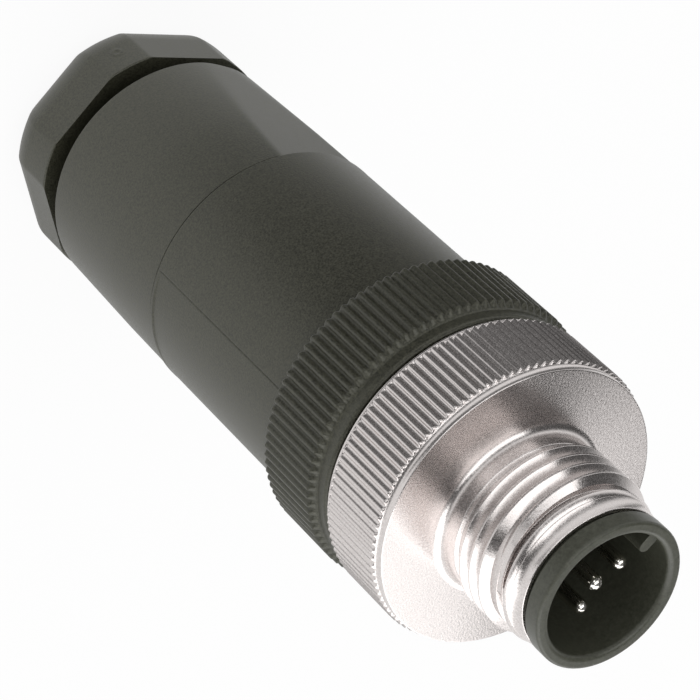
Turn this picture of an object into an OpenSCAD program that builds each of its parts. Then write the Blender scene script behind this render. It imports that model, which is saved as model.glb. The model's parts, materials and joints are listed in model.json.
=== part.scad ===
// Field-wired circular plug with a screw lock: five contacts in a black carrier, a knurled
// metal coupling screw, a black grip ring, and a barrel that ends in a cable gland.
// Every piece is turned about one upright axis. The mating end points up, and the plug stands
// on the flat end of its gland nut. The origin is on the axis, level with the collar's face.

/* [Contact carrier] */
// Distance from the collar face to the rim of the contact cup
cup_reach = 9.6; // [9.2:0.1:10.4]
// Bore of the contact cup
cup_d = 8.72; // [8.5:0.02:8.9]
// Depth of the contact cup
cup_depth = 9.7; // [8.5:0.1:10.5]
// Outer diameter of the flange at the rim
flange_d = 10.5; // [10.3:0.1:10.8]
// Length of the flange
flange_len = 1.2; // [1:0.1:1.5]
// Gap between the flange and the coupling screw's front end
flange_gap = 0.4; // [0.2:0.05:0.5]
// Radius of the rounding inside the cup's mouth
mouth_round_r = 0.35; // [0.2:0.05:0.4]
// Radius of the rounding outside the rim
rim_round_r = 0.2; // [0.1:0.05:0.25]
// Diameter of the carrier inside the coupling screw
carrier_d = 9.7; // [9.5:0.05:9.9]
// Diameter of the carrier inside the grip ring
stem_d = 9.2; // [9.1:0.05:9.3]
// Height of the snap bead that holds the stem in the grip ring
bead_h = 0.25; // [0.15:0.05:0.4]
// Length of the snap bead
bead_len = 0.6; // [0.4:0.1:1]
// Direction of the coding key, from the X axis
key_angle = 56; // [0:1:359]
// Width of the coding key
key_w = 0.8; // [0.6:0.05:1.2]
// Height of the coding key from the cup's wall
key_h = 1.15; // [0.6:0.05:1.3]
// Distance of the key's front end behind the rim
key_setback = 0.5; // [0.2:0.1:1.5]

/* [Contacts] */
// Diameter of a contact pin
pin_d = 1; // [0.8:0.05:1.1]
// Diameter of a contact's shank inside the carrier
contact_shank_d = 1.5; // [1.4:0.05:1.6]
// Distance of the shank's front end below the cup's floor
shank_setback = 0.05; // [0.02:0.01:0.08]
// Diameter of the circle through the four outer pins
pin_circle_d = 5; // [4.8:0.05:5.2]
// Distance of the outer pins' tips behind the rim
outer_tip_setback = 2.04; // [1.5:0.02:3]
// Distance of the centre pin's tip behind the rim
centre_tip_setback = 1.1; // [0.8:0.1:3]
// Length of the rounded nose of a pin
nose_len = 0.5; // [0.4:0.05:1]
// Distance from the collar face back to the outer terminals
terminal_reach = 17.6; // [17:0.1:19]
// Outer diameter of a screw terminal
terminal_d = 3; // [2.8:0.05:3.1]
// Length of a screw terminal
terminal_len = 4; // [3.6:0.1:4.4]
// Diameter of a terminal's wire hole
wire_hole_d = 1.7; // [1.5:0.05:1.8]
// Depth of a terminal's wire hole
wire_hole_len = 3.2; // [3:0.1:3.4]
// Length of the insulating boss in front of the centre terminal
boss_len = 0.4; // [0.3:0.1:1]

/* [Terminal screws] */
// Diameter of a terminal screw
screw_d = 1.6; // [1.4:0.05:1.7]
// Length of a terminal screw
screw_len = 1.62; // [1.5:0.02:2]
// Distance of a terminal screw's axis behind the terminal's front end
screw_setback = 2.2; // [2:0.1:2.4]
// Width of the driver slot
slot_w = 0.25; // [0.2:0.01:0.35]
// Depth of the driver slot
slot_depth = 0.45; // [0.3:0.05:0.6]
// Thickness of a pressure plate
plate_t = 0.2; // [0.15:0.01:0.25]
// Width of a pressure plate
plate_w = 0.9; // [0.7:0.05:1]
// Length of a pressure plate
plate_len = 1.6; // [1.2:0.1:1.7]
// Distance from the wire hole's axis out to the plate's outer face
plate_reach = 0.65; // [0.55:0.01:0.68]

/* [Coupling screw] */
// Diameter over the coupling thread
thread_d = 11.94; // [11.8:0.02:12]
// Length of the coupling thread
thread_len = 4.5; // [4:0.1:4.6]
// Wall of the coupling screw in the plain land in front of the thread
land_wall = 0.55; // [0.5:0.01:0.7]
// Length of that land
land_len = 1.5; // [1.2:0.1:1.8]
// Wall of the coupling screw in the relief groove behind the land
relief_wall = 0.42; // [0.3:0.01:0.5]
// Width of the relief groove
relief_w = 0.6; // [0.4:0.1:0.8]
// Wall of the coupling screw in the neck behind the thread
neck_wall = 0.77; // [0.6:0.01:0.9]
// Radius of the fillet between the neck and the collar face
neck_fillet = 0.6; // [0.3:0.1:1]
// Length of the knurled collar
collar_len = 6.1; // [5.6:0.1:7]
// Height of the grip ring's ribs above the collar's knurl
collar_step = 0.2; // [0:0.05:0.4]
// Depth of the grooves in the collar's knurl
collar_knurl_depth = 0.25; // [0.1:0.01:0.35]
// Drop from the knurl to the plain bands beside it
collar_band_drop = 0.22; // [0.15:0.01:0.3]
// Number of teeth in the collar's knurl
collar_teeth = 105; // [80:1:120]
// Length of the plain band at the front of the collar
collar_band_len = 0.65; // [0.4:0.05:1.2]
// Length of the plain band at the back of the collar
collar_edge_len = 0.3; // [0.25:0.05:0.8]
// Edge chamfer of the collar
collar_chamfer = 0.15; // [0.05:0.05:0.3]
// Diameter of the recess in the back of the collar
socket_d = 13.2; // [12.8:0.1:14]
// Depth of that recess
socket_depth = 3.7; // [3.4:0.1:4.4]

/* [Grip ring] */
// Length of the grip ring's outside
grip_len = 6.6; // [6.2:0.1:8]
// Diameter over the grip ring's ribs
grip_d = 20.7; // [20.4:0.1:21.5]
// Depth of the grooves between the ribs
rib_depth = 0.35; // [0.15:0.05:0.45]
// Drop from the ribs to the smooth band in front of them
grip_band_drop = 0.25; // [0.15:0.05:0.4]
// Number of ribs
rib_count = 96; // [72:1:110]
// Length of the smooth band at the front of the grip ring
grip_band_len = 1.2; // [0.8:0.1:2]
// Edge chamfer of the grip ring
grip_chamfer = 0.3; // [0.1:0.05:0.4]
// Length of the bore that holds the contact carrier
grip_bore_len = 7.2; // [6.8:0.1:8]
// Diameter over the thread of the sleeve that the barrel screws onto
sleeve_d = 16; // [15.8:0.05:16.2]
// Wall of the sleeve
sleeve_wall = 1.4; // [1.2:0.1:1.8]
// Length of the sleeve
sleeve_len = 3.9; // [3.8:0.1:4.5]

/* [Seal rings] */
// Thickness of the ring round the contact carrier
carrier_ring_t = 0.8; // [0.6:0.05:0.9]
// Distance of the carrier ring's groove behind the stem's front shoulder
carrier_ring_setback = 1.3; // [1:0.1:4]
// Thickness of the ring round the grip ring's sleeve
sleeve_ring_t = 0.8; // [0.6:0.05:0.9]
// Distance of the sleeve ring's groove behind the grip ring
sleeve_ring_setback = 0.2; // [0.2:0.1:0.5]

/* [Barrel] */
// Length of the barrel
barrel_len = 29.7; // [28:0.1:32]
// Wall of the barrel round its inner thread
barrel_wall = 1.27; // [1.1:0.01:1.6]
// Length of the front half
front_half_len = 16.05; // [15:0.05:17]
// Step down from the front half to the rear half at the seam
seam_step = 0.08; // [0.02:0.02:0.14]
// Height that the rear half loses on its way to the cable end
tail_taper = 0.25; // [0:0.05:0.4]
// Width of the groove at the seam
seam_w = 0.1; // [0.05:0.05:0.3]
// Depth of that groove below the front half
seam_depth = 0.2; // [0.15:0.05:0.4]
// Chamfer of the barrel's edge at the cable end
tail_chamfer = 0.2; // [0.1:0.05:0.4]
// Direction of the wrench flats, from the X axis
flat_angle = 77; // [0:1:359]
// Depth of a wrench flat at the seam
flat_depth = 0.78; // [0.4:0.02:0.9]
// Slope of the wrench flats
flat_slope = 2.13; // [0:0.01:2.5]
// Length of the barrel's inner thread
barrel_thread_len = 4.3; // [4.2:0.1:5.5]
// Step from the inner thread down to the wiring space
chamber_step = 0.46; // [0.3:0.02:0.8]
// Wall of the barrel round the gland nut's thread
tail_wall = 1.94; // [1.8:0.01:2.1]
// Thickness of the wall that the cable seal rests on
seat_wall = 1.2; // [0.8:0.1:2]
// Distance from the barrel's front end to that wall
chamber_len = 17.3; // [16.5:0.1:17.8]
// Width of that wall's rim that the cable seal rests on
seat_rim = 0.7; // [0.4:0.05:1]

/* [Cable gland] */
// Length of the cone that squeezes the clamp cage
cone_len = 2.1; // [1.8:0.1:2.3]
// Height that the cone closes over its length
cone_drop = 1.05; // [0.8:0.05:1.1]
// Gap between the cable seal and the fingers round it
seal_gap = 0.3; // [0.2:0.05:0.5]
// Wall of the cable seal
seal_wall = 1.4; // [1:0.05:1.45]
// Length of the cable seal
seal_len = 4.7; // [4:0.1:4.9]
// Chamfer of the cable seal's edges
seal_chamfer = 0.35; // [0.1:0.05:0.6]
// Gap between the clamp cage and the bore that it slides in
cage_gap = 0.31; // [0.2:0.01:0.4]
// Thickness of the cage's fingers
finger_t = 1.15; // [0.9:0.05:1.15]
// Number of fingers
finger_count = 10; // [6:1:14]
// Width of the gaps between the fingers
finger_gap = 0.8; // [0.5:0.1:1.2]
// Length of the cage
cage_len = 4.9; // [4.5:0.1:5.1]
// Length of the closed ring at the back of the cage
cage_ring_len = 0.7; // [0.5:0.1:0.8]
// Radial room for the cable in the closed ring, beyond the seal's bore
ring_room = 0.4; // [0.2:0.05:0.8]
// Length of the gland nut's thread
shank_len = 5.7; // [5.5:0.1:6.2]
// Height of the gland nut's rounded corners above the barrel's end
nut_corner_rise = 0.04; // [0:0.02:0.3]
// Drop from the rounded corners to the nut's flats
nut_flat_drop = 0.54; // [0.3:0.02:0.8]
// Length of the gland nut's hexagon
nut_len = 2.8; // [2:0.1:4]
// Direction of the nut's first corner, from the X axis
nut_angle = 57.5; // [0:0.5:59.5]
// Length of the rounded end behind the hexagon
dome_len = 2.8; // [2:0.1:3.2]
// Radius of the curve that the flats take over the rounded end
dome_r = 4; // [3.5:0.1:6]
// Radius of the curve that the corners take over the rounded end
corner_dome_r = 3.5; // [3.3:0.1:4]
// Radial room for the cable in the gland nut, beyond the seal's bore
nut_room = 0.2; // [0.1:0.05:0.5]
// Chamfer at the mouth of that bore
mouth_chamfer = 0.6; // [0.2:0.1:1]
// Gap between the barrel and the nut's hexagon
nut_gap = 1.8; // [1.7:0.1:2.4]

/* [Fits] */
// Radial clearance between pieces that turn on each other
turn_fit = 0.08; // [0.03:0.01:0.1]
// Radial clearance in the fine threads
thread_fit = 0.06; // [0.03:0.01:0.1]
// Radial clearance of a piece pushed into a hole
push_fit = 0.02; // [0:0.01:0.04]
// Axial gap between pieces that rest on each other
seat_gap = 0.1; // [0.05:0.01:0.15]
// Axial gap between the collar and the grip ring
collar_gap = 0.3; // [0.2:0.05:0.6]

/* [Hidden] */
// Front face of each piece or feature, as a height on the axis above the collar face
rim_z = cup_reach;
floor_z = rim_z - cup_depth;
flange_back_z = rim_z - flange_len;
thread_front_z = flange_back_z - flange_gap - land_len - relief_w;
collar_back_z = -collar_len;
socket_z = collar_back_z + socket_depth;
hub_front_z = socket_z - 2 * seat_gap;
grip_front_z = collar_back_z - collar_gap;
grip_back_z = grip_front_z - grip_len;
bore_back_z = hub_front_z - grip_bore_len;
sleeve_back_z = grip_back_z - sleeve_len;
terminal_z = -terminal_reach;
carrier_back_z = terminal_z - terminal_len - 2 * seat_gap;
boss_back_z = carrier_back_z - boss_len;
barrel_front_z = grip_back_z - seat_gap;
seam_z = barrel_front_z - front_half_len;
barrel_back_z = barrel_front_z - barrel_len;
seat_front_z = barrel_front_z - chamber_len;
seat_back_z = seat_front_z - seat_wall;
nut_front_z = barrel_back_z - nut_gap;
dome_z = nut_front_z - nut_len;
nut_back_z = dome_z - dome_len;
shank_front_z = nut_front_z + shank_len;
cage_back_z = shank_front_z + seat_gap;

// Diameters that follow from a neighbour's size
collar_d = grip_d - 2 * collar_step;
collar_band_d = collar_d - 2 * collar_band_drop;
grip_band_d = grip_d - 2 * grip_band_drop;
barrel_bore_d = sleeve_d + 2 * thread_fit;
barrel_d = barrel_bore_d + 2 * barrel_wall;
chamber_d = barrel_bore_d - 2 * chamber_step;
rear_d = barrel_d - 2 * seam_step;
tail_d = rear_d - 2 * tail_taper;
nut_corner_d = tail_d + 2 * nut_corner_rise;
nut_flats = nut_corner_d - 2 * nut_flat_drop;
screw_bore_d = carrier_d + 2 * turn_fit;
land_d = screw_bore_d + 2 * land_wall;
relief_d = screw_bore_d + 2 * relief_wall;
neck_d = screw_bore_d + 2 * neck_wall;
hub_d = socket_d - 2 * turn_fit;
grip_bore_d = stem_d + 2 * push_fit;
carrier_groove_d = stem_d - 2 * carrier_ring_t;
sleeve_groove_d = sleeve_d - 2 * sleeve_ring_t;
pocket_d = tail_d - 2 * tail_wall;
shank_d = pocket_d - 2 * thread_fit;
cage_d = pocket_d - 2 * cage_gap;
grip_cavity_d = sleeve_d - 2 * sleeve_wall;
seal_d = cage_d - 2 * finger_t - 2 * seal_gap;
seal_bore_d = seal_d - 2 * seal_wall;
seat_hole_d = seal_d - 2 * seat_rim;
cage_hole_d = seal_bore_d + 2 * ring_room;
nut_bore_d = seal_bore_d + 2 * nut_room;

centre = 5;
outer_count = 4;
plastic_colour = "#2e2e2a";
contact_colour = "#e6e2d4";
nickel_colour = "#c9c2c0";
steel_colour = "#a8a8a6";
rubber_colour = "#1d1d1c";
eps = 0.05;
$fn = 96;

// Shared shapes ------------------------------------------------------------------------

// A round rod on the axis between two heights
module rod(d, low, high) {
    translate([0, 0, low]) cylinder(d = d, h = high - low);
}

// A rod with a chamfer at its front or back end, or at both
module chamfered_rod(d, low, high, front_chamfer = 0, back_chamfer = 0) {
    r = d / 2;
    back = back_chamfer > 0 ? [[r - back_chamfer, low], [r, low + back_chamfer]] : [[r, low]];
    front = front_chamfer > 0 ? [[r, high - front_chamfer], [r - front_chamfer, high]] : [[r, high]];
    rotate_extrude() polygon(concat([[0, low]], back, front, [[0, high]]));
}

// A rod with straight teeth all round, each with a narrow flat crest
module toothed_rod(teeth, d, depth, low, high) {
    crest = d / 2;
    root = crest - depth;
    step = 360 / teeth;
    outline = [for (i = [0:teeth - 1], p = [[0, root], [0.35, crest], [0.65, crest]])
        p[1] * [cos((i + p[0]) * step), sin((i + p[0]) * step)]];
    translate([0, 0, low]) linear_extrude(high - low) polygon(outline);
}

// A round cord bent into a ring that lies in a groove
module seal_ring(groove_d, thickness, z) {
    section_d = thickness - 2 * push_fit;
    rotate_extrude() translate([groove_d / 2 + push_fit + section_d / 2, z]) circle(d = section_d);
}

// The groove for such a ring, cut into a rod of the given diameter
module ring_groove(outer_d, groove_d, width, front_z) {
    difference() {
        rod(outer_d + 1, front_z - width, front_z);
        rod(groove_d, front_z - width - eps, front_z + eps);
    }
}

// Places children at one contact, with local x pointing away from the connector's axis
module at_contact(i) {
    angle = i == centre ? key_angle : key_angle - 45 + (i - 1) * 360 / outer_count;
    radius = i == centre ? 0 : pin_circle_d / 2;
    rotate([0, 0, angle]) translate([radius, 0, 0]) children();
}

function terminal_front_z(i) = i == centre ? boss_back_z : terminal_z;
function screw_z(i) = terminal_front_z(i) - screw_setback;

// Contact carrier ----------------------------------------------------------------------

// The flange, with its outer edge rounded off
module rim_flange() {
    flange_r = flange_d / 2;
    rotate_extrude() polygon(concat(
        [[0, flange_back_z], [flange_r, flange_back_z]],
        [for (a = [0:15:90])
            [flange_r - rim_round_r * (1 - cos(a)), rim_z - rim_round_r * (1 - sin(a))]],
        [[0, rim_z]]
    ));
}

// The space in the cup, which widens in a rounding at the mouth
module cup_space() {
    cup_r = cup_d / 2;
    rotate_extrude() polygon(concat(
        [[0, floor_z], [cup_r, floor_z]],
        [for (a = [0:15:90])
            [cup_r + mouth_round_r * (1 - cos(a)), rim_z - mouth_round_r * (1 - sin(a))]],
        [[cup_r + mouth_round_r, rim_z + eps], [0, rim_z + eps]]
    ));
}

// The coding key, a rib with a round crest on the cup's wall
module coding_key() {
    crest_x = cup_d / 2 - key_h + key_w / 2;
    length = cup_depth - key_setback;
    rotate([0, 0, key_angle]) translate([0, 0, floor_z]) {
        translate([crest_x, 0, 0]) cylinder(d = key_w, h = length, $fn = 48);
        translate([crest_x, -key_w / 2, 0]) cube([cup_d / 2 - crest_x + mouth_round_r / 2, key_w, length]);
    }
}

module contact_holes() {
    for (i = [1:outer_count]) at_contact(i) {
        rod(terminal_d + 2 * push_fit, carrier_back_z - eps, terminal_z);
        translate([0, 0, screw_z(i)]) rotate([0, 90, 0]) cylinder(d = screw_d + 6 * seat_gap, h = carrier_d);
    }
    for (i = [1:centre]) at_contact(i) {
        rod(contact_shank_d + 2 * push_fit, boss_back_z - eps, rim_z);
    }
}

module contact_carrier() {
    groove_w = carrier_ring_t + seat_gap;
    color(plastic_colour) {
        difference() {
            union() {
                rim_flange();
                rod(carrier_d, hub_front_z, flange_back_z + eps);
                rod(stem_d, carrier_back_z, hub_front_z + eps);
                chamfered_rod(stem_d + 2 * bead_h, bore_back_z - seat_gap - bead_len,
                    bore_back_z - seat_gap, back_chamfer = bead_h);
                rod(terminal_d, boss_back_z, carrier_back_z + eps);
            }
            cup_space();
            contact_holes();
            ring_groove(stem_d, carrier_groove_d, groove_w, hub_front_z - carrier_ring_setback);
        }
        difference() {
            coding_key();
            contact_holes();
        }
    }
}

module carrier_seal_ring() {
    groove_mid_z = hub_front_z - carrier_ring_setback - (carrier_ring_t + seat_gap) / 2;
    color(rubber_colour) seal_ring(carrier_groove_d, carrier_ring_t, groove_mid_z);
}

// Contacts and terminals ---------------------------------------------------------------

// A turned contact: a pin with an elliptical nose, and a screw terminal at its other end
module contact_pin(i) {
    tip_z = rim_z - (i == centre ? centre_tip_setback : outer_tip_setback);
    front_z = terminal_front_z(i);
    back_z = front_z - terminal_len;
    color(contact_colour) at_contact(i) difference() {
        union() {
            rotate_extrude($fn = 48) polygon(concat(
                [[0, front_z - eps], [contact_shank_d / 2, front_z - eps],
                    [contact_shank_d / 2, floor_z - shank_setback],
                    [pin_d / 2, floor_z - shank_setback]],
                [for (a = [0:15:90])
                    [pin_d / 2 * cos(a), tip_z - nose_len * (1 - sin(a))]]
            ));
            rod(terminal_d, back_z, front_z);
        }
        rod(wire_hole_d, back_z - eps, back_z + wire_hole_len);
        translate([0, 0, screw_z(i)]) rotate([0, 90, 0])
            cylinder(d = screw_d + 2 * thread_fit, h = terminal_d);
    }
}

// A thin plate between the screw and the wire
module pressure_plate(i) {
    color(steel_colour) at_contact(i)
        translate([plate_reach - plate_t, -plate_w / 2, screw_z(i) - plate_len / 2])
            cube([plate_t, plate_w, plate_len]);
}

// A slotted set screw that stands across the terminal
module terminal_screw(i) {
    foot = plate_reach + seat_gap / 4;
    color(steel_colour) at_contact(i) translate([foot, 0, screw_z(i)])
        difference() {
            rotate([0, 90, 0]) cylinder(d = screw_d, h = screw_len, $fn = 48);
            translate([screw_len - slot_depth, -screw_d, -slot_w / 2])
                cube([slot_depth + eps, 2 * screw_d, slot_w]);
        }
}

// Coupling screw -----------------------------------------------------------------------

// The fillet that runs from the neck out onto the collar face
module neck_flare() {
    neck_r = neck_d / 2;
    rotate_extrude() polygon(concat(
        [[0, -eps], [neck_r + neck_fillet, -eps]],
        [for (a = [0:15:90])
            [neck_r + neck_fillet * (1 - sin(a)), neck_fillet * (1 - cos(a))]],
        [[0, neck_fillet]]
    ));
}

module coupling_screw() {
    front_z = flange_back_z - flange_gap;
    thread_back_z = thread_front_z - thread_len;
    edge_z = collar_back_z + collar_edge_len;
    color(nickel_colour) difference() {
        union() {
            chamfered_rod(land_d, front_z - land_len, front_z, front_chamfer = collar_chamfer);
            rod(relief_d, thread_front_z, front_z - land_len + eps);
            rod(thread_d, thread_back_z, thread_front_z);
            rod(neck_d, -eps, thread_back_z + eps);
            neck_flare();
            chamfered_rod(collar_band_d, -collar_band_len, 0, front_chamfer = collar_chamfer);
            toothed_rod(collar_teeth, collar_d, collar_knurl_depth, edge_z, -collar_band_len);
            chamfered_rod(collar_band_d, collar_back_z, edge_z, back_chamfer = collar_chamfer);
        }
        rod(screw_bore_d, socket_z - eps, front_z + eps);
        rod(socket_d, collar_back_z - eps, socket_z);
    }
}

// Grip ring ----------------------------------------------------------------------------

module grip_ring() {
    band_back_z = grip_front_z - grip_band_len;
    color(plastic_colour) difference() {
        union() {
            rod(hub_d, grip_front_z - eps, hub_front_z);
            chamfered_rod(grip_band_d, band_back_z, grip_front_z, front_chamfer = grip_chamfer);
            toothed_rod(rib_count, grip_d, rib_depth, grip_back_z, band_back_z);
            rod(sleeve_d, sleeve_back_z, grip_back_z + eps);
        }
        rod(grip_bore_d, bore_back_z - eps, hub_front_z + eps);
        rod(grip_cavity_d, sleeve_back_z - eps, bore_back_z);
        ring_groove(sleeve_d, sleeve_groove_d, sleeve_ring_t + seat_gap,
            grip_back_z - sleeve_ring_setback);
    }
}

module sleeve_seal_ring() {
    groove_mid_z = grip_back_z - sleeve_ring_setback - (sleeve_ring_t + seat_gap) / 2;
    color(rubber_colour) seal_ring(sleeve_groove_d, sleeve_ring_t, groove_mid_z);
}

// Barrel -------------------------------------------------------------------------------

// The stock that a wrench flat takes off the rear half, bounded by the seam
module flat_cut() {
    rear_len = barrel_len - front_half_len;
    intersection() {
        translate([rear_d / 2 - flat_depth, -barrel_d / 2, seam_z]) rotate([0, -flat_slope, 0])
            translate([0, 0, -2 * rear_len]) cube([barrel_d / 2, barrel_d, 3 * rear_len]);
        translate([0, -barrel_d, seam_z - 2 * rear_len])
            cube([barrel_d, 2 * barrel_d, 2 * rear_len + seam_w / 2]);
    }
}

module barrel() {
    front_r = barrel_d / 2;
    seam_r = rear_d / 2;
    tail_r = tail_d / 2;
    color(plastic_colour) difference() {
        rotate_extrude() polygon([
            [0, barrel_front_z], [front_r, barrel_front_z], [front_r, seam_z + seam_w],
            [front_r - seam_depth, seam_z + seam_w], [front_r - seam_depth, seam_z],
            [seam_r, seam_z], [tail_r, barrel_back_z + tail_chamfer],
            [tail_r - tail_chamfer, barrel_back_z], [0, barrel_back_z]
        ]);
        for (side = [0, 180]) rotate([0, 0, flat_angle + side]) flat_cut();
        rod(barrel_bore_d, barrel_front_z - barrel_thread_len, barrel_front_z + eps);
        rod(chamber_d, seat_front_z, barrel_front_z - barrel_thread_len + eps);
        rod(seat_hole_d, seat_back_z - eps, seat_front_z + eps);
        rod(pocket_d, barrel_back_z - eps, seat_back_z - cone_len);
        translate([0, 0, seat_back_z - cone_len - eps])
            cylinder(d1 = pocket_d, d2 = pocket_d - 2 * cone_drop, h = cone_len + eps);
    }
}

// Cable gland --------------------------------------------------------------------------

module cable_seal() {
    front_z = seat_back_z - seat_gap;
    color(rubber_colour) difference() {
        chamfered_rod(seal_d, front_z - seal_len, front_z, seal_chamfer, seal_chamfer);
        rod(seal_bore_d, front_z - seal_len - eps, front_z + eps);
    }
}

module clamp_cage() {
    front_z = cage_back_z + cage_len;
    ring_front_z = cage_back_z + cage_ring_len;
    taper = finger_t * 3 / 4;
    color(plastic_colour) difference() {
        rotate_extrude() polygon([
            [0, cage_back_z], [cage_d / 2, cage_back_z], [cage_d / 2, front_z - 2 * taper],
            [cage_d / 2 - taper, front_z], [0, front_z]
        ]);
        rod(cage_d - 2 * finger_t, ring_front_z, front_z + eps);
        rod(cage_hole_d, cage_back_z - eps, ring_front_z + eps);
        for (i = [0:finger_count - 1]) rotate([0, 0, i * 360 / finger_count])
            translate([cage_hole_d / 2, -finger_gap / 2, ring_front_z])
                cube([cage_d, finger_gap, cage_len]);
    }
}

// Outline of one side of the nut: straight along the hexagon, then in along a curve
function nut_side(reach, curve_r) = let (curve_end = asin(dome_len / curve_r)) concat(
    [[reach, nut_front_z]],
    [for (step = [0:8]) let (a = curve_end * step / 8)
        [reach - curve_r * (1 - cos(a)), dome_z - curve_r * sin(a)]]
);

// Two opposite flats of the nut, wide enough to hold the whole nut between them
module nut_flat_pair() {
    side = nut_side(nut_flats / 2, dome_r);
    rotate([90, 0, 0]) linear_extrude(2 * nut_corner_d, center = true)
        polygon(concat(side, [for (i = [len(side) - 1:-1:0]) [-side[i].x, side[i].y]]));
}

module gland_nut() {
    color(plastic_colour) difference() {
        union() {
            intersection() {
                rotate([0, 0, nut_angle + 30]) nut_flat_pair();
                rotate([0, 0, nut_angle + 90]) nut_flat_pair();
                rotate([0, 0, nut_angle + 150]) nut_flat_pair();
                rotate_extrude() polygon(concat([[0, nut_front_z]],
                    nut_side(nut_corner_d / 2, corner_dome_r), [[0, nut_back_z]]));
            }
            rod(shank_d, nut_front_z - eps, shank_front_z);
        }
        rod(nut_bore_d, nut_back_z - eps, shank_front_z + eps);
        translate([0, 0, nut_back_z - eps])
            cylinder(d1 = nut_bore_d + 2 * (mouth_chamfer + eps), d2 = nut_bore_d, h = mouth_chamfer + eps);
    }
}

contact_carrier();
contact_pin(1);  // contact_pin_1
contact_pin(2);  // contact_pin_2
contact_pin(3);  // contact_pin_3
contact_pin(4);  // contact_pin_4
contact_pin(5);  // contact_pin_5
pressure_plate(1);  // pressure_plate_1
pressure_plate(2);  // pressure_plate_2
pressure_plate(3);  // pressure_plate_3
pressure_plate(4);  // pressure_plate_4
pressure_plate(5);  // pressure_plate_5
terminal_screw(1);  // terminal_screw_1
terminal_screw(2);  // terminal_screw_2
terminal_screw(3);  // terminal_screw_3
terminal_screw(4);  // terminal_screw_4
terminal_screw(5);  // terminal_screw_5
coupling_screw();
carrier_seal_ring();
grip_ring();
sleeve_seal_ring();
barrel();
cable_seal();
clamp_cage();
gland_nut();
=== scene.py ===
# %% [markdown]
# # A field-wired circular plug with a screw lock
# The plug stands on the flat end of its gland nut, with its mating end up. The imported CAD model
# is the frame: it says where every piece sits and how it moves. This script gives each visible
# piece its real surface - thread, knurl, ribs, seam, rounded edges - and each material its grain.

# %% Load the frame
import bpy
import json
import numpy as np
from mathutils import Matrix, Vector


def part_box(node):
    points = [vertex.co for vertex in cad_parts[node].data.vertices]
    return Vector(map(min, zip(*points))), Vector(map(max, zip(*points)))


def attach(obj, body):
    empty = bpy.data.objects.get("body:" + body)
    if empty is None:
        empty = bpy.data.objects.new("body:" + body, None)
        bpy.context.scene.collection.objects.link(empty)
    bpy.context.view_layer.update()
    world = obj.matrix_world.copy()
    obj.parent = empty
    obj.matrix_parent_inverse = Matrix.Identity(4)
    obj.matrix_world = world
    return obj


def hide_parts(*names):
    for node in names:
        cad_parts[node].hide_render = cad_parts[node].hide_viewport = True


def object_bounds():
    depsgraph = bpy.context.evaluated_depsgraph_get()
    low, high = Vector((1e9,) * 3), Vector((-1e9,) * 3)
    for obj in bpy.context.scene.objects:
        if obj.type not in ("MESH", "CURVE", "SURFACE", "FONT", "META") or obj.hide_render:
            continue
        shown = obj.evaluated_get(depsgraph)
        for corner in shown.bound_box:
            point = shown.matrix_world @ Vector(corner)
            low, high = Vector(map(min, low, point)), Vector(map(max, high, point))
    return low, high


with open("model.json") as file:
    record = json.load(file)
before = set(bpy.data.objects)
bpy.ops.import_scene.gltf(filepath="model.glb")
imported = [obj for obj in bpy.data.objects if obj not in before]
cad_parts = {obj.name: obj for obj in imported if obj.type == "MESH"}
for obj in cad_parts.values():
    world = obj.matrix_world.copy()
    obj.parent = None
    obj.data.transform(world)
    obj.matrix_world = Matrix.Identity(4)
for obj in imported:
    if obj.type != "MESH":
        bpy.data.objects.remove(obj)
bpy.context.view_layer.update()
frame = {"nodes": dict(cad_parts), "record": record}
MM = 0.001

# %% [markdown]
# Heights are measured along the axis in millimetres, from the face of the metal collar.
# Each comes from the box of a CAD node, so a change of the CAD carries over to the looks.

# %% Read the heights and radii of the CAD pieces
def span(node):
    """Lowest height, highest height and outer radius of a node, in millimetres."""
    low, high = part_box(node)
    radius = max(abs(low[0]), abs(high[0]), abs(low[1]), abs(high[1]))
    return low[2] / MM, high[2] / MM, radius / MM


_, rim, _ = span("contact_carrier")
collar_back, screw_front, collar_r = span("coupling_screw")
sleeve_back, hub_front, grip_r = span("grip_ring")
barrel_back, barrel_front, barrel_r = span("barrel")
nut_back, shank_front, nut_r = span("gland_nut")
print("overall length: %.2f mm" % (rim - nut_back))

# %% [markdown]
# The camera looks down on the mating end from a long way off, rolled so that the plug lies
# across the picture from the upper left to the lower right. Its place is a point in the
# frame. Its direction is given by what lies to its right and by what it looks along.

# %% Camera
CAMERA_PLACE = Vector((-120.63, 93.03, 119.96)) * MM
CAMERA_RIGHT = Vector((0.80765, 0.24692, 0.53547)).normalized()
CAMERA_AHEAD = Vector((0.58487, -0.45108, -0.67413)).normalized()
camera_up = CAMERA_RIGHT.cross(CAMERA_AHEAD).normalized()
camera_data = bpy.data.cameras.new("camera")
camera = bpy.data.objects.new("camera", camera_data)
bpy.context.collection.objects.link(camera)
bpy.context.scene.camera = camera
camera_data.sensor_width = 36
camera_data.lens = 162.72
camera_data.clip_start = 0.01
camera_data.clip_end = 10
facing = Matrix((CAMERA_RIGHT, camera_up, -CAMERA_AHEAD)).transposed()
camera.matrix_world = Matrix.Translation(CAMERA_PLACE) @ facing.to_4x4()
print("camera height over the collar: %.0f mm" % (CAMERA_PLACE.z / MM))

# %% [markdown]
# ## Turned shapes
# Nearly every piece here is turned on a lathe or moulded round one axis. Such a piece could be
# made with Blender's Screw modifier, but a knurl and wrench flats need the radius to change
# with the angle. So a piece is a closed profile in (radius, height), carried round the axis on
# a grid, and a relief function may then move each grid point's radius.

# %% A closed profile with rounded corners
HOLD = 0.05     # mm from a corner to the point that keeps the flat side flat
SHARP = 0.01    # mm from a sharp corner to the points that keep it crisp


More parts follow.
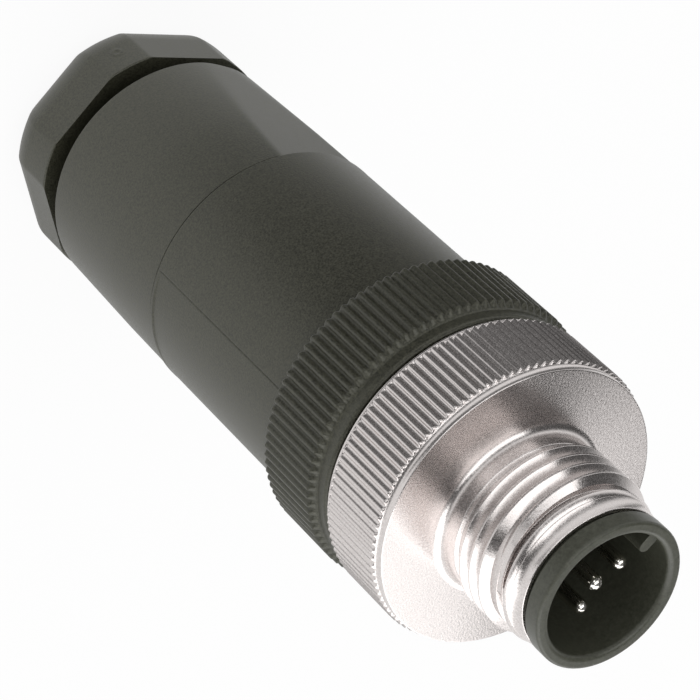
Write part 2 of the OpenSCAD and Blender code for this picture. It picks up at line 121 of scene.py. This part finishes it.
def rounded(corners):
    """A closed outline whose corners are rounded.

    corners is a list of (radius, height, rounding). The two sides at a corner are cut back by
    rounding * tan(half the turn), and points on a circle join them. A holding point stands
    just outside each arc, so that smooth shading stays flat on the long sides."""
    place = np.array([corner[:2] for corner in corners], float)
    radius = np.array([corner[2] for corner in corners], float)
    ahead = np.roll(place, -1, axis=0) - place
    length = np.linalg.norm(ahead, axis=1)
    ahead = ahead / length[:, None]
    behind = np.roll(ahead, 1, axis=0)
    bend = np.arccos(np.clip((behind * ahead).sum(1), -1, 1))
    room = np.minimum(length, np.roll(length, 1)) * 0.45
    cut = np.minimum(radius * np.tan(bend / 2), room)
    outline = []
    for i in range(len(corners)):
        hold = min(HOLD, room[i] * 0.3)
        if cut[i] < 1e-4:
            sharp = min(SHARP, room[i] * 0.3)
            shares = np.array([[-hold], [-sharp], [0], [sharp], [hold]])
            sides = np.where(shares < 0, behind[i], ahead[i])
            outline.append(place[i] + sides * np.abs(shares) * np.sign(shares))
            continue
        share = np.linspace(0, 1, int(np.clip(np.ceil(bend[i] / 0.3), 2, 8)) + 1)[:, None]
        first, last = place[i] - behind[i] * cut[i], place[i] + ahead[i] * cut[i]
        weight = np.cos(bend[i] / 2)
        at_first, at_last = (1 - share) ** 2, share ** 2
        at_corner = 2 * share * (1 - share) * weight
        top = at_first * first + at_corner * place[i] + at_last * last
        arc = top / (at_first + at_corner + at_last)
        hold = min(HOLD, (room[i] / 0.45 - cut[i]) * 0.3)
        outline.append(np.vstack([first - behind[i] * hold, arc, last + ahead[i] * hold]))
    return np.vstack(outline)


def with_rows(outline, low, high, step, at_least):
    """The same outline with points no further apart than step where it runs between the
    heights low and high at a radius of at_least or more, so that a relief has grid lines."""
    following = np.roll(outline, -1, axis=0)
    parts = []
    for here, there in zip(outline, following):
        inside = (min(here[0], there[0]) >= at_least and max(here[1], there[1]) <= high + 1e-6
                  and min(here[1], there[1]) >= low - 1e-6)
        count = int(np.ceil(np.linalg.norm(there - here) / step)) if inside else 1
        share = np.arange(max(count, 1))[:, None] / max(count, 1)
        parts.append(here + (there - here) * share)
    return np.vstack(parts)


# %% A grid turned from a profile, and the mesh it becomes
def turned(outline, angles, relief=None):
    """Points and quads of a closed ring: point (i, j) is outline[i] turned by angles[j].

    x = r cos a, y = r sin a, z = height, with r from relief(r, z, a) where that is given."""
    if np.isscalar(angles):
        angles = np.arange(angles) * (2 * np.pi / angles)
    rows, columns = len(outline), len(angles)
    r = np.repeat(outline[:, :1], columns, axis=1)
    z = np.repeat(outline[:, 1:], columns, axis=1)
    a = np.repeat(angles[None, :], rows, axis=0)
    if relief is not None:
        r, z = relief(r, z, a)
    points = np.stack([r * np.cos(a), r * np.sin(a), z], -1).reshape(-1, 3)
    i, j = np.meshgrid(np.arange(rows), np.arange(columns), indexing="ij")
    below, beside = (i + 1) % rows, (j + 1) % columns
    quads = np.stack([i * columns + j, below * columns + j, below * columns + beside,
                      i * columns + beside], -1).reshape(-1, 4)
    return points, [quads if clockwise(outline) else quads[:, ::-1]]


def clockwise(outline):
    """True if the outline runs clockwise in (radius, height): twice its signed area, the sum
    of r times the next z less z times the next r, is then negative."""
    r, z = outline[:, 0], outline[:, 1]
    return np.sum(r * np.roll(z, -1) - z * np.roll(r, -1)) < 0


def made(name, parts, node, body):
    """Joins (points, faces) parts into one smooth mesh object that stands for a CAD node."""
    start, points, faces = 0, [], []
    for part_points, part_faces in parts:
        points.append(part_points)
        for block in part_faces:
            faces += (block + start).tolist()
        start += len(part_points)
    mesh = bpy.data.meshes.new(name)
    mesh.from_pydata(np.vstack(points) * MM, [], faces)
    mesh.polygons.foreach_set("use_smooth", np.ones(len(faces), bool))
    mesh.update()
    piece = bpy.data.objects.new(name, mesh)
    bpy.context.collection.objects.link(piece)
    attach(piece, body)
    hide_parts(node)
    print("%s: %d faces" % (name, len(faces)))
    return piece


# %% [markdown]
# A screw thread could be a relief too, but its crest would then step from one grid row to
# the next. It is cleaner as a ridge of its own that is swept along a helix and stands a
# little deep in the plain core. At both ends the ridge sinks into the core, as a cut thread
# runs out.

# %% A thread ridge
STEPS_A_TURN = 160    # sections in one turn of a thread
SINK = 0.1            # mm that a ridge stands deep in its core
RUN_OUT = 0.04        # mm that it sinks below the core at its ends


def ridge(root_r, crest_r, low, high, angle_0, z_0, pitch=1.0, fade=0.35, base=0.9, land=0.12):
    """A ridge swept along z = z_0 + pitch * turns, from the height low to the height high.

    Its section is a low trapezium with rounded crest corners, of width base at the root and
    land at the crest. Its height is smooth-stepped to nothing over fade turns at both ends."""
    first, last = (low - z_0) / pitch, (high - z_0) / pitch
    turns = np.linspace(first, last, int((last - first) * STEPS_A_TURN) + 1)
    section = rounded([(-SINK, -base / 2 - 0.02, 0), (0, -base / 2, 0), (1, -land / 2, 0.05),
                       (1, land / 2, 0.05), (0, base / 2, 0), (-SINK, base / 2 + 0.02, 0)])
    apart = np.linalg.norm(np.diff(section, axis=0), axis=1) > 1e-5
    section = section[np.concatenate([[True], apart])]
    edge = np.clip(np.minimum(turns - first, last - turns) / fade, 0, 1)
    rise = (edge * edge * (3 - 2 * edge))[:, None]
    height = crest_r - root_r
    stand = np.where(section[:, 0] > 0, section[:, 0] * height, section[:, 0])[None, :]
    r = root_r + stand * rise - RUN_OUT * (1 - rise)
    z = z_0 + pitch * turns[:, None] + section[None, :, 1]
    a = angle_0 + turns[:, None] * 2 * np.pi + 0 * z
    points = np.stack([r * np.cos(a), r * np.sin(a), z], -1).reshape(-1, 3)
    rows, columns = len(turns), len(section)
    i, j = np.meshgrid(np.arange(rows - 1), np.arange(columns), indexing="ij")
    beside = (j + 1) % columns
    quads = np.stack([i * columns + j, (i + 1) * columns + j, (i + 1) * columns + beside,
                      i * columns + beside], -1).reshape(-1, 4)
    start_cap = np.arange(columns)[None, :]
    return points, [quads, start_cap, start_cap[:, ::-1] + (rows - 1) * columns]


def steps(value, low, high):
    """0 below low, 1 above high and a smooth 3t^2 - 2t^3 step between."""
    share = np.clip((value - low) / (high - low), 0, 1)
    return share * share * (3 - 2 * share)


def wave(angle, count):
    """0 in the valleys and 1 on the crests of count straight-sided teeth round the axis."""
    return 1 - np.abs(2 * np.mod(angle * count / (2 * np.pi), 1) - 1)


def blend_min(a, b, width):
    """The smaller of two radii, with the corner between them rounded over width."""
    share = np.clip(0.5 + 0.5 * (b - a) / width, 0, 1)
    return b + (a - b) * share - width * share * (1 - share)


# %% [markdown]
# ## The coupling screw
# It is a brass part turned and threaded in one go, then knurled and plated. Its front is a
# smooth snout with a flared shoulder. After a narrow relief groove comes the 12 mm thread of
# 1 mm pitch, which runs out before the neck. A fillet leads to the flat face of the collar,
# whose rim is a short land, then straight teeth all round, then a plain edge. The teeth are
# rolled, not turned, so a point attribute marks them for the plating's finish.

# %% Coupling screw
COLLAR_TEETH, COLUMNS_A_TOOTH = 105, 4
TOOTH_END = 0.2
LAND_R, KNURL_ROOT, KNURL_FRONT, KNURL_BACK = 9.9, 9.83, -0.66, -5.86
THREAD_ROOT, THREAD_CREST, NECK_R = 5.4, 5.97, 5.62


def knurl(r, z, a):
    """Straight-sided teeth on the rim, whose ends are quarter circles of TOOTH_END."""
    end = np.clip(np.minimum(KNURL_FRONT - z, z - KNURL_BACK) / TOOTH_END, 0, 1)
    rise = np.sqrt(1 - (1 - end) ** 2)
    teeth = KNURL_ROOT + (collar_r - KNURL_ROOT) * wave(a, COLLAR_TEETH)
    return np.where(r > LAND_R - 0.01, r + (teeth - r) * rise, r), z


screw_outline = rounded([
    (4.93, screw_front, 0.06), (5.2, screw_front, 0.08), (5.38, 6.96, 0.0), (5.34, 6.9, 0.0),
    (5.56, 6.46, 0.04), (5.05, 6.42, 0.03), (5.05, 5.75, 0.05), (THREAD_ROOT, 5.6, 0.0),
    (THREAD_ROOT, 1.62, 0.05), (NECK_R, 1.45, 0.08), (NECK_R, 0, 0.58), (LAND_R, 0, 0.06), (LAND_R, KNURL_FRONT, 0),
    (LAND_R, KNURL_FRONT - 0.05, 0), (LAND_R, KNURL_FRONT - TOOTH_END, 0),
    (LAND_R, KNURL_BACK + TOOTH_END, 0), (LAND_R, KNURL_BACK + 0.05, 0), (LAND_R, KNURL_BACK, 0), (LAND_R, collar_back, 0.08),
    (6.6, collar_back, 0.1), (6.6, -2.4, 0.05), (4.93, -2.4, 0.05)])
screw_outline = with_rows(screw_outline, KNURL_BACK, KNURL_FRONT, 0.6, LAND_R - 0.01)
coupling_screw = made("coupling_screw_turned", [
    turned(screw_outline, COLLAR_TEETH * COLUMNS_A_TOOTH, knurl),
    ridge(THREAD_ROOT - 0.01, THREAD_CREST, 1.75, 5.5, np.radians(107), 5.25, land=0.16)],
    "coupling_screw", "coupling")

# %% Mark the rolled teeth
ROLLED = 0.6
corners = np.empty(3 * len(coupling_screw.data.vertices))
coupling_screw.data.vertices.foreach_get("co", corners)
from_axis = np.linalg.norm(corners.reshape(-1, 3)[:, :2], axis=1)
rolled = (from_axis > (LAND_R - 0.03) * MM).astype(float)
mark = coupling_screw.data.attributes.new("rolled", "FLOAT", "POINT")
mark.data.foreach_set("value", ROLLED * rolled)
print("share of the screw's points on the knurl: %.2f" % rolled.mean())

# %% [markdown]
# ## The grip ring
# It is moulded, with a smooth round band at its front into which the ribs fade. Behind the
# ribs is a sleeve with a thread for the barrel and a groove for its seal ring.

# %% Grip ring
RIBS, COLUMNS_A_RIB = 96, 5
RIB_FRONT, RIB_BACK, BAND_R, RIB_ROOT = -7.3, -13.0, 9.82, 10.0
RIB_FADE, RIB_END, RIB_END_R = 0.5, 0.25, 9.9


def ribs(r, z, a):
    """Ribs with round crests and narrow valleys, faded in over RIB_FADE behind the band
    and rounded off to RIB_END_R over the last RIB_END at the back."""
    crest = 1 - (1 - wave(a, RIBS)) ** 1.7
    front = steps(-z, -RIB_FRONT, -RIB_FRONT + RIB_FADE)
    back = np.sqrt(1 - (1 - np.clip((z - RIB_BACK) / RIB_END, 0, 1)) ** 2)
    ribbed = RIB_ROOT + (grip_r - RIB_ROOT) * crest
    ribbed = RIB_END_R + (ribbed - RIB_END_R) * back
    return np.where(r > BAND_R - 0.01, r + (ribbed - r) * front, r), z


grip_outline = rounded([
    (4.62, hub_front, 0.1), (6.52, hub_front, 0.12), (6.52, -6.4, 0.05), (BAND_R, -6.4, 0.3),
    (BAND_R, RIB_FRONT, 0), (BAND_R, RIB_FRONT - 0.17, 0), (BAND_R, RIB_FRONT - 0.35, 0),
    (BAND_R, RIB_FRONT - RIB_FADE, 0), (BAND_R, RIB_BACK + RIB_END, 0), (BAND_R, RIB_BACK + 0.1, 0),
    (BAND_R, RIB_BACK, 0), (8.0, RIB_BACK, 0.05), (8.0, -13.2, 0), (7.2, -13.2, 0.05),
    (7.2, -14.1, 0.05), (8.0, -14.1, 0.03), (8.0, -14.15, 0.0), (7.5, -14.35, 0.03),
    (7.5, sleeve_back, 0.15), (6.6, sleeve_back, 0.1), (6.6, -9.8, 0.1), (4.62, -9.8, 0.1)])
grip_outline = with_rows(grip_outline, RIB_BACK, RIB_FRONT, 0.8, BAND_R - 0.01)
grip_ring = made("grip_ring_ribbed", [
    turned(grip_outline, RIBS * COLUMNS_A_RIB, ribs),
    ridge(7.49, 7.98, -16.75, -14.2, 0, -14.6)],
    "grip_ring", "plug_body")

# %% [markdown]
# ## The barrel
# The mould's seam runs round the middle: the rear half is a little thinner. Two long slanting
# flats for a wrench are cut into the rear half. The front half has a fine parting line on
# both sides. The rear edge overlaps the nut's face a hair, so that no bright gap shows there.

# %% Barrel
SEAM = -29.15
FLAT_ANGLE = np.radians(77)
PARTING_ANGLE = np.radians(173.3)
FLAT_FRONT, FLAT_SLOPE = 8.47, 0.0372
LINE_DEPTH, LINE_WIDTH, SUNK = 0.05, 0.05, 0.08
BARREL_COLUMNS, OVERLAP = 560, 0.15


def flats_and_lines(r, z, a):
    """The flats are planes at FLAT_FRONT + slope * distance behind the seam from the axis,
    met with a small round edge. Each parting line is a hair-wide groove, and on one side of it
    the surface sinks by up to SUNK."""
    from_flat = np.abs(np.mod(a - FLAT_ANGLE + np.pi / 2, np.pi) - np.pi / 2)
    plane = (FLAT_FRONT + FLAT_SLOPE * (SEAM - z)) / np.cos(np.minimum(from_flat, 1.2))
    cut = (z < SEAM + 0.01) & (r > 8.3)
    r = np.where(cut, blend_min(r, plane, 0.12), r)
    beside = (np.mod(a - PARTING_ANGLE + np.pi / 2, np.pi) - np.pi / 2) * barrel_r
    along = steps(z, SEAM + 0.35, SEAM + 0.55) * steps(-z, 13.7, 14.0) * (r > 9)
    sunk = SUNK * (1 - np.exp(-np.clip(beside, 0, None) / 1.2)) * (1 - steps(beside, 4, 12))
    line = LINE_DEPTH * np.exp(-(beside / LINE_WIDTH) ** 2) + sunk
    return r - line * along, z


barrel_angles = np.arange(BARREL_COLUMNS) * (2 * np.pi / BARREL_COLUMNS)
hair = np.array([-0.12, -0.08, -0.05, -0.025, 0, 0.025, 0.05, 0.08, 0.12]) / barrel_r
for angle in (PARTING_ANGLE, PARTING_ANGLE + np.pi):
    barrel_angles = barrel_angles[np.abs(barrel_angles - angle) > 0.015]
    barrel_angles = np.append(barrel_angles, angle + hair)
barrel_angles = np.sort(barrel_angles)
barrel_end = barrel_back - OVERLAP
barrel_outline = rounded([
    (8.06, barrel_front, 0.15), (barrel_r, barrel_front, 0.18), (barrel_r, -14.0, 0),
    (barrel_r, SEAM + 0.55, 0), (barrel_r, SEAM + 0.35, 0), (barrel_r, SEAM + 0.12, 0.04),
    (9.13, SEAM + 0.1, 0), (9.13, SEAM + 0.01, 0), (9.25, SEAM, 0.03), (9.2, -34.5, 0),
    (9.0, barrel_end, 0.12), (7.06, barrel_end, 0.15), (7.06, -33.7, 0), (6.01, -31.6, 0.0),
    (4.6, -31.6, 0.1), (4.6, -30.4, 0.1), (7.6, -30.4, 0.2), (7.6, -17.4, 0.1),
    (8.06, -17.4, 0.05)])
barrel_outline = with_rows(barrel_outline, barrel_end, barrel_front, 1.2, 8.9)
barrel = made("barrel_moulded", [turned(barrel_outline, barrel_angles, flats_and_lines)],
              "barrel", "shell")

# %% [markdown]
# ## The gland nut
# It is a hexagon whose corners are turned off to a circle. Both the faces and the corners
# curve in over the rounded end. In front is a threaded shank, which screws into the barrel.
# One corner has the small round mark where the plastic ran into the mould.

# %% Gland nut
NUT_FLAT, NUT_FRONT, NUT_ANGLE = 8.5, -44.6, np.radians(57.5)
DOME_FRONT, DOME_R, CORNER_DOME_R = -47.4, 4.0, 3.5
GATE_ANGLE, GATE_Z = np.radians(117.5), -46.6
NUT_COLUMNS = 528


def drop(z, curve_r):
    """How far a circle of radius curve_r has fallen in at the height z behind DOME_FRONT."""
    behind = np.clip(DOME_FRONT - z, 0, None)
    return curve_r - np.sqrt(curve_r ** 2 - behind ** 2)


def hexagon(r, z, a):
    """Six faces at NUT_FLAT from the axis, less their drop over the rounded end, meet the
    turned corners in narrow edges."""
    from_flat = np.mod(a - NUT_ANGLE, np.pi / 3) - np.pi / 6
    plane = (NUT_FLAT - drop(z, DOME_R)) / np.cos(from_flat)
    outside = (z < NUT_FRONT + 0.01) & (r > 7.2)
    away = np.hypot((a - GATE_ANGLE) * nut_r, z - GATE_Z)
    ring = 0.05 * np.exp(-((away - 0.3) / 0.09) ** 2) - 0.03 * np.exp(-(away / 0.15) ** 2)
    return np.where(outside, blend_min(r, plane, 0.05) + ring * (z > DOME_FRONT), r), z


dome_heights = np.linspace(DOME_FRONT, nut_back, 14)[1:-1]
dome_corners = [(nut_r - drop(z, CORNER_DOME_R), z, 0) for z in dome_heights]
nut_outline = rounded([
    (4.1, shank_front, 0.2), (6.62, shank_front, 0.3), (6.62, NUT_FRONT + 0.3, 0),
    (7.0, NUT_FRONT, 0), (nut_r, NUT_FRONT, 0.1), (nut_r, DOME_FRONT, 0)]
    + dome_corners + [(nut_r - drop(nut_back, CORNER_DOME_R), nut_back, 0.1),
                      (4.7, nut_back, 0.1), (4.1, nut_back + 0.6, 0.1)])
nut_outline = with_rows(nut_outline, DOME_FRONT, NUT_FRONT, 0.14, 8.9)
gland_nut = made("gland_nut_domed", [
    turned(nut_outline, NUT_COLUMNS, hexagon),
    ridge(6.61, 6.99, shank_front - 0.6 - 4.6, shank_front - 0.5, 0, shank_front - 2)],
    "gland_nut", "gland")

# %% [markdown]
# ## Surfaces
# Every finish here is fine grained. One node group makes the grain: two sizes of noise in the
# piece's own coordinates give a height for the bump and a shade that varies the colour.

# %% The grain group
def grain_group():
    """A group with a fine noise for Height, and Shade = coarse noise bent by Contrast."""
    group = bpy.data.node_groups.new("fine_grain", "ShaderNodeTree")
    sockets = group.interface
    for name, value in (("Grain Scale", 8000.0), ("Mottle Scale", 900.0), ("Contrast", 0.5)):
        given_in = sockets.new_socket(name, in_out="INPUT", socket_type="NodeSocketFloat")
        given_in.default_value = value
    sockets.new_socket("Height", in_out="OUTPUT", socket_type="NodeSocketFloat")
    sockets.new_socket("Shade", in_out="OUTPUT", socket_type="NodeSocketFloat")
    node, link = group.nodes.new, group.links.new
    given, result = node("NodeGroupInput"), node("NodeGroupOutput")
    place = node("ShaderNodeTexCoord")
    fine, coarse = node("ShaderNodeTexNoise"), node("ShaderNodeTexNoise")
    fine.inputs["Detail"].default_value = 2
    coarse.inputs["Detail"].default_value = 4
    mix = node("ShaderNodeMath")
    mix.operation = "MULTIPLY_ADD"
    centre = node("ShaderNodeMath")
    centre.operation = "SUBTRACT"
    centre.inputs[1].default_value = 0.5
    for texture, scale in ((fine, "Grain Scale"), (coarse, "Mottle Scale")):
        link(place.outputs["Object"], texture.inputs["Vector"])
        link(given.outputs[scale], texture.inputs["Scale"])
    both = node("ShaderNodeMath")
    both.operation = "ADD"
    half = node("ShaderNodeMath")
    half.operation = "MULTIPLY"
    half.inputs[1].default_value = 0.5
    link(fine.outputs["Fac"], both.inputs[0])
    link(coarse.outputs["Fac"], both.inputs[1])
    link(both.outputs[0], half.inputs[0])
    link(half.outputs[0], centre.inputs[0])
    link(centre.outputs[0], mix.inputs[0])
    link(given.outputs["Contrast"], mix.inputs[1])
    mix.inputs[2].default_value = 0.5
    link(fine.outputs["Fac"], result.inputs["Height"])
    link(mix.outputs[0], result.inputs["Shade"])
    return group


GRAIN = grain_group()


# %% A finish from the grain
def finish_of(name, dark, light, rough, grain, mottle, bump, contrast=2.0, metallic=0.0,
              specular=0.5, turned_marks=0.0, tint=(1.0, 1.0, 1.0)):
    """A material whose colour runs from dark to light and whose roughness runs over the pair
    rough with the grain's shade, and whose normal follows the grain's height. Highlights are
    drawn out across fine turned marks, less so where the piece is marked as rolled."""
    material = bpy.data.materials.new(name)
    material.use_nodes = True
    tree = material.node_tree
    node, link = tree.nodes.new, tree.links.new
    shader = tree.nodes["Principled BSDF"]
    shader.inputs["Metallic"].default_value = metallic
    shader.inputs["Specular IOR Level"].default_value = specular
    if turned_marks:
        knurled, marks = node("ShaderNodeAttribute"), node("ShaderNodeMath")
        knurled.attribute_name = "rolled"
        marks.operation = "MULTIPLY_ADD"
        marks.inputs[1].default_value = -turned_marks
        marks.inputs[2].default_value = turned_marks
        link(knurled.outputs["Fac"], marks.inputs[0])
        link(marks.outputs[0], shader.inputs["Anisotropic"])
    shader.inputs["Anisotropic Rotation"].default_value = 0.25
    shader.inputs["Specular Tint"].default_value = (*tint, 1)
    grained = node("ShaderNodeGroup")
    grained.node_tree = GRAIN
    grained.inputs["Grain Scale"].default_value = grain
    grained.inputs["Mottle Scale"].default_value = mottle
    grained.inputs["Contrast"].default_value = contrast
    colours = node("ShaderNodeMix")
    colours.data_type = "RGBA"
    colours.inputs["A"].default_value = (*dark, 1)
    colours.inputs["B"].default_value = (*light, 1)
    roughness = node("ShaderNodeMapRange")
    roughness.inputs["To Min"].default_value = rough[0]
    roughness.inputs["To Max"].default_value = rough[1]
    relief = node("ShaderNodeBump")
    relief.inputs["Strength"].default_value = 1.0
    relief.inputs["Distance"].default_value = bump * MM
    link(grained.outputs["Shade"], colours.inputs["Factor"])
    link(grained.outputs["Shade"], roughness.inputs["Value"])
    link(grained.outputs["Height"], relief.inputs["Height"])
    link(colours.outputs["Result"], shader.inputs["Base Color"])
    link(roughness.outputs["Result"], shader.inputs["Roughness"])
    link(relief.outputs["Normal"], shader.inputs["Normal"])
    print("finish:", name)
    return material


# %% [markdown]
# The black polyamide is spark-eroded satin: nearly black with an olive cast, and lighter
# specks where the grain catches light. The plated brass is bright but finely pitted.

# %% The finishes
plastic = finish_of("black_polyamide", (0.009, 0.009, 0.004), (0.05, 0.05, 0.033),
                    (0.36, 0.48), 8500, 7000, 0.014, contrast=4.2, specular=0.72, tint=(1, 1, 0.9))
# The carrier's colours are the black polyamide made lighter: painted reflection that stands in for the light its
# rim land reflects.
carrier_painted_reflection_plastic = finish_of("black_polyamide_painted_reflection", (0.035, 0.036, 0.025), (0.085, 0.088, 0.066),
                            (0.3, 0.45), 7000, 3000, 0.01, specular=0.5)
nickel = finish_of("nickel_plated_brass", (0.62, 0.575, 0.56), (0.78, 0.74, 0.725),
                   (0.2, 0.3), 7000, 7000, 0.004, metallic=1.0, turned_marks=0.78)
contact_metal = finish_of("plated_contact", (0.75, 0.72, 0.66), (0.92, 0.9, 0.85),
                          (0.12, 0.22), 6000, 900, 0.002, metallic=1.0)
steel = finish_of("plated_steel", (0.5, 0.5, 0.49), (0.7, 0.7, 0.69),
                  (0.25, 0.4), 6000, 900, 0.003, metallic=1.0)
rubber = finish_of("black_rubber", (0.015, 0.015, 0.015), (0.035, 0.035, 0.035),
                   (0.6, 0.75), 5000, 900, 0.01, specular=0.3)

# %% Put the finishes on
BY_SLOT = {"black_polyamide": plastic, "nickel_plated_brass": nickel,
           "plated_contact": contact_metal, "plated_steel": steel, "black_rubber": rubber}
BY_NODE = {"contact_carrier": carrier_painted_reflection_plastic}
for piece, finish in ((coupling_screw, nickel), (grip_ring, plastic), (barrel, plastic),
                      (gland_nut, plastic)):
    piece.data.materials.append(finish)
for subpart in frame["record"]["subparts"]:
    carried = frame["nodes"][subpart["node"]]
    if not carried.material_slots:
        carried.data.materials.append(None)
    for place in carried.material_slots:
        place.link = "OBJECT"
        place.material = BY_NODE.get(subpart["node"], BY_SLOT[subpart["material_slot"]])

# %% [markdown]
# ## Floor and light
# The plug stands on a wide white floor, which stays under the gland nut when the barrel or the
# nut is unscrewed. The floor shows itself as plain white to the camera, mixed with its lit
# surface so that a soft shadow stays. In reflections it shows a glow that is white except for a
# painted shade patch on one side, and that painted shade gives the plating its contrast.

# %% Floor
FLOOR_SIZE = 3.0
floor_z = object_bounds()[0][2] - 0.02 * MM
floor_mesh = bpy.data.meshes.new("floor")
half = FLOOR_SIZE / 2
floor_mesh.from_pydata([(-half, -half, floor_z), (half, -half, floor_z), (half, half, floor_z),
                        (-half, half, floor_z)], [], [(0, 1, 2, 3)])
floor = bpy.data.objects.new("floor", floor_mesh)
bpy.context.collection.objects.link(floor)
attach(floor, "gland")


# %% What the floor shows to each kind of ray
def seen_directly(tree):
    """Two masks: 1 for rays from the camera or through glass, and 1 for rays off gloss."""
    path = tree.nodes.new("ShaderNodeLightPath")
    direct = tree.nodes.new("ShaderNodeMath")
    direct.operation = "MAXIMUM"
    tree.links.new(path.outputs["Is Camera Ray"], direct.inputs[0])
    tree.links.new(path.outputs["Is Transmission Ray"], direct.inputs[1])
    return direct.outputs[0], path.outputs["Is Glossy Ray"]


def across(tree, azimuth, low, high, at_low, at_high):
    """at_low to at_high, smooth-stepped over the distance low to high towards an azimuth."""
    place = tree.nodes.new("ShaderNodeNewGeometry")
    along = tree.nodes.new("ShaderNodeVectorMath")
    share = tree.nodes.new("ShaderNodeMapRange")
    towards = np.radians(azimuth)
    along.operation = "DOT_PRODUCT"
    along.inputs[1].default_value = (np.cos(towards), np.sin(towards), 0)
    share.interpolation_type = "SMOOTHSTEP"
    for socket, value in (("From Min", low), ("From Max", high), ("To Min", at_low),
                          ("To Max", at_high)):
        share.inputs[socket].default_value = value
    tree.links.new(place.outputs["Position"], along.inputs[0])
    tree.links.new(along.outputs["Value"], share.inputs["Value"])
    return share.outputs["Result"]


# %% The floor's material
# Painted shade: in reflections the floor's glow falls from white to dark in a band on one side of the plug, then
# rises to white again further out.
PAINTED_SHADE_AZIMUTH = 92                    # degrees, the azimuth of the dark patch
NEAR_EDGE = (0.015, 0.04)         # m, over which the reflected floor falls from white
FAR_EDGE = (0.085, 0.13)          # m, over which it rises to white again
WHITE, DARK, OWN_LIGHT = 0.95, 0.13, 0.93
floor_material = bpy.data.materials.new("white_floor")
floor_material.use_nodes = True
tree = floor_material.node_tree
tree.nodes.remove(tree.nodes["Principled BSDF"])
paper = tree.nodes.new("ShaderNodeBsdfDiffuse")
glow, mirrored = [tree.nodes.new("ShaderNodeEmission") for _ in range(2)]
shown, reflected = [tree.nodes.new("ShaderNodeMixShader") for _ in range(2)]
paper.inputs["Color"].default_value = (0.9, 0.9, 0.9, 1)
weight = tree.nodes.new("ShaderNodeMath")
weight.operation = "MULTIPLY"
weight.inputs[1].default_value = OWN_LIGHT
direct, glossy = seen_directly(tree)
tree.links.new(direct, weight.inputs[0])
tree.links.new(weight.outputs[0], shown.inputs["Fac"])
tree.links.new(paper.outputs[0], shown.inputs[1])
tree.links.new(glow.outputs[0], shown.inputs[2])
# The painted shade patch: the larger of the falling and the rising step.
painted_shade = tree.nodes.new("ShaderNodeMath")
painted_shade.operation = "MAXIMUM"
tree.links.new(across(tree, PAINTED_SHADE_AZIMUTH, *NEAR_EDGE, WHITE, DARK), painted_shade.inputs[0])
tree.links.new(across(tree, PAINTED_SHADE_AZIMUTH, *FAR_EDGE, 0.0, WHITE), painted_shade.inputs[1])
tree.links.new(painted_shade.outputs[0], mirrored.inputs["Color"])
tree.links.new(glossy, reflected.inputs["Fac"])
tree.links.new(shown.outputs[0], reflected.inputs[1])
tree.links.new(mirrored.outputs[0], reflected.inputs[2])
tree.links.new(reflected.outputs[0], tree.nodes["Material Output"].inputs["Surface"])
floor_mesh.materials.append(floor_material)

# %% [markdown]
# One large soft lamp stands to the side from which the plug is lit. A smaller one hangs high
# on the other side and lights the flanks of the thread. The world is a low white backdrop all
# round with a dark studio above it, which gives the plating something dark to reflect.

# %% Lamps and world
def soft_lamp(name, azimuth, elevation, distance, width, height, radiance):
    """A rectangular lamp at (cos az cos el, sin az cos el, sin el) * distance, facing the plug.
    Its power is radiance * pi * area, so that radiance 1 looks as bright as white paper."""
    az, el = np.radians(azimuth), np.radians(elevation)
    away = Vector((np.cos(az) * np.cos(el), np.sin(az) * np.cos(el), np.sin(el)))
    lamp = bpy.data.lights.new(name, "AREA")
    lamp.shape, lamp.size, lamp.size_y = "RECTANGLE", width, height
    lamp.energy = radiance * np.pi * width * height
    holder = bpy.data.objects.new(name, lamp)
    bpy.context.collection.objects.link(holder)
    facing = away.to_track_quat("Z", "Y").to_matrix().to_4x4()
    holder.matrix_world = Matrix.Translation(away * distance) @ facing


soft_lamp("key_lamp", -98, 42, 0.5, 0.95, 0.42, 2.15)
soft_lamp("fill_lamp", 105, 64, 0.5, 0.6, 0.4, 1.9)
world = bpy.data.worlds.new("studio")
bpy.context.scene.world = world
world.use_nodes = True
tree = world.node_tree
backdrop = tree.nodes["Background"]
direction = tree.nodes.new("ShaderNodeTexCoord")
parts = tree.nodes.new("ShaderNodeSeparateXYZ")
height = tree.nodes.new("ShaderNodeMapRange")
height.interpolation_type = "SMOOTHSTEP"
for socket, value in (("From Min", 0.15), ("From Max", 0.45), ("To Min", 1.0), ("To Max", 0.08)):
    height.inputs[socket].default_value = value
tree.links.new(direction.outputs["Generated"], parts.inputs[0])
tree.links.new(parts.outputs["Z"], height.inputs["Value"])
tree.links.new(height.outputs["Result"], backdrop.inputs["Color"])
bpy.context.scene.view_settings.view_transform = "Standard"
